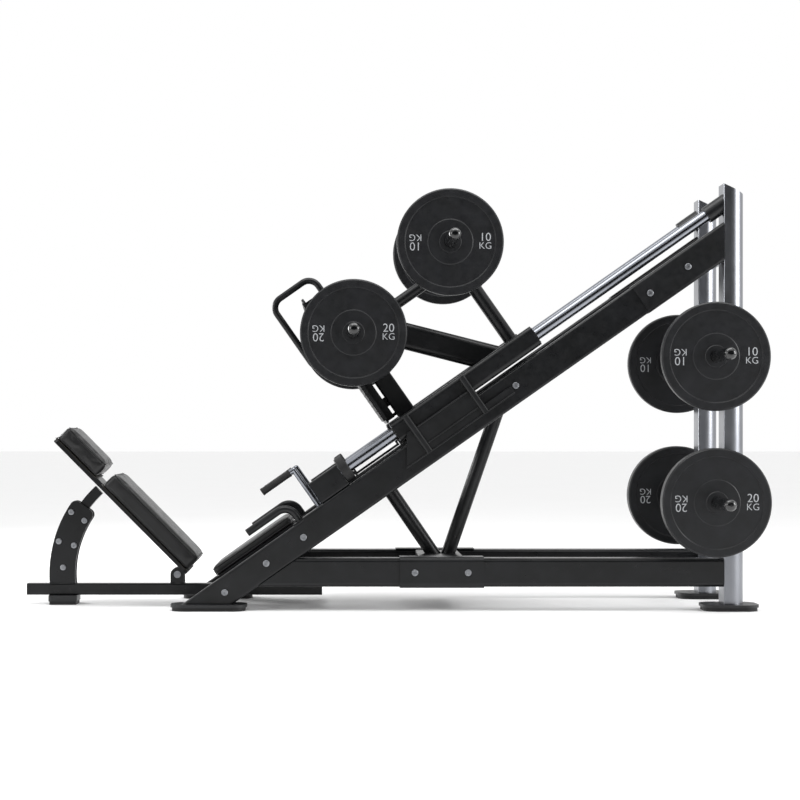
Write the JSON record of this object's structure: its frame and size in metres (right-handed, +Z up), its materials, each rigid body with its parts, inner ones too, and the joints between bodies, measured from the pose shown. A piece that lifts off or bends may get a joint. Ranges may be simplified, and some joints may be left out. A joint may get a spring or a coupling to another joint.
{
  "type": "plate-loaded leg press machine",
  "caption": "Inclined plate-loaded leg press: weighted sled with footplate on guide rods, reclining bench, seat with side handles, plate storage uprights.",
  "frame": {"origin": "middle of the footprint, on the floor", "axes": "+X from the bench towards the uprights, +Y across to the left of a user lying on the bench, +Z up"},
  "size_m": [3.132, 1.584, 1.787],
  "materials": {
    "black_steel": "satin black powder coat",
    "black_panel": "satin black powder coat, pressed plate",
    "grey_steel": "silver grey metallic powder coat",
    "foot_steel": "satin dark powder coat",
    "chrome": "polished hard chrome",
    "horn_steel": "gloss black coat",
    "bolt_steel": "zinc plated",
    "rubber_plate": "matt moulded rubber over iron",
    "rubber": "matt moulded rubber",
    "pad_leather": "black synthetic leather over foam",
    "pad_board": "black stained plywood",
    "bush_plastic": "acetal",
    "knob_plastic": "moulded, on a steel pin",
    "plate_steel": "satin black powder coat"
  },
  "bodies": {
    "frame": {"base_beams": "black_steel", "base_saddles": "black_panel", "bench_beam": "black_steel", "bench_cross_tubes": "black_steel", "floor_plates": "foot_steel", "frame_bolts": "bolt_steel", "front_legs": "black_steel", "guide_rods": "chrome", "hinge_ears": "black_steel", "hinge_pin": "bolt_steel", "lever_brackets": "black_panel", "lower_bumpers": "rubber", "mid_cross_beam": "black_steel", "pull_pin_guide": "black_steel", "rail_beams": "black_steel", "rail_sleeves": "black_panel", "rail_ties": "black_steel", "rear_cross_beams": "grey_steel", "rod_supports": "black_steel", "rubber_feet": "rubber", "seat_board": "black_steel", "seat_carriers": "black_steel", "seat_pad": "pad_leather", "sector_bolts": "bolt_steel", "sector_plates": "black_steel", "side_handles": "black_steel", "storage_horns": "horn_steel", "uprights": "grey_steel", "v_struts": "black_steel"},
    "sled": {"bearing_housings": "black_steel", "linear_bushes": "bush_plastic", "side_panels": "black_panel", "stop_tongues": "black_steel", "sled_cross_tubes": "black_steel", "sled_spine": "black_steel", "sled_posts": "black_steel", "sled_braces": "black_steel", "sled_horns": "horn_steel", "footplate": "plate_steel", "footplate_ribs": "black_steel", "footplate_mat": "rubber", "grab_loop": "black_steel"},
    "backrest": {"backrest_frame": "black_steel", "recline_tongue": "black_steel", "back_pad": "pad_leather", "head_pad": "pad_leather", "pad_boards": "pad_board"},
    "safety_lever": {"lever_shaft": "bolt_steel", "lever_arms": "chrome", "lever_grips": "rubber"},
    "pull_pin": {"pull_pin": "knob_plastic"},
    "sled_plate_10_left": {"sled_plate_10_left": "rubber_plate"},
    "sled_plate_10_right": {"sled_plate_10_right": "rubber_plate"},
    "sled_plate_20_left": {"sled_plate_20_left": "rubber_plate"},
    "sled_plate_20_right": {"sled_plate_20_right": "rubber_plate"},
    "stored_plate_10_left": {"stored_plate_10_left": "rubber_plate"},
    "stored_plate_10_right": {"stored_plate_10_right": "rubber_plate"},
    "stored_plate_20_left": {"stored_plate_20_left": "rubber_plate"},
    "stored_plate_20_right": {"stored_plate_20_right": "rubber_plate"}
  },
  "joints": [
    {"name": "sled_slide", "type": "slide", "parent": "frame", "child": "sled", "axis": [0.8192, 0, 0.5736], "range_m": [0, 0.85]},
    {"name": "backrest_recline", "type": "hinge", "parent": "frame", "child": "backrest", "pos_m": [-0.912, 0, 0.129], "axis": [0, 1, 0], "range_deg": [0, 20]},
    {"name": "safety_lever_turn", "type": "hinge", "parent": "frame", "child": "safety_lever", "pos_m": [-0.274, 0, 0.40465], "axis": [0, 1, 0], "range_deg": [0, 35]},
    {"name": "pull_pin_travel", "type": "slide", "parent": "frame", "child": "pull_pin", "axis": [0, 1, 0], "range_m": [0, 0.012], "stiffness_N_per_m": 800, "springref_m": -0.005},
    {"name": "sled_plate_10_left_off", "type": "slide", "parent": "sled", "child": "sled_plate_10_left", "axis": [0, 1, 0], "range_m": [0, 0.36]},
    {"name": "sled_plate_10_right_off", "type": "slide", "parent": "sled", "child": "sled_plate_10_right", "axis": [0, -1, 0], "range_m": [0, 0.36]},
    {"name": "sled_plate_20_left_off", "type": "slide", "parent": "sled", "child": "sled_plate_20_left", "axis": [0, 1, 0], "range_m": [0, 0.36]},
    {"name": "sled_plate_20_right_off", "type": "slide", "parent": "sled", "child": "sled_plate_20_right", "axis": [0, -1, 0], "range_m": [0, 0.36]},
    {"name": "stored_plate_10_left_off", "type": "slide", "parent": "frame", "child": "stored_plate_10_left", "axis": [0, 1, 0], "range_m": [0, 0.33]},
    {"name": "stored_plate_10_right_off", "type": "slide", "parent": "frame", "child": "stored_plate_10_right", "axis": [0, -1, 0], "range_m": [0, 0.33]},
    {"name": "stored_plate_20_left_off", "type": "slide", "parent": "frame", "child": "stored_plate_20_left", "axis": [0, 1, 0], "range_m": [0, 0.33]},
    {"name": "stored_plate_20_right_off", "type": "slide", "parent": "frame", "child": "stored_plate_20_right", "axis": [0, -1, 0], "range_m": [0, 0.33]}
  ]
}
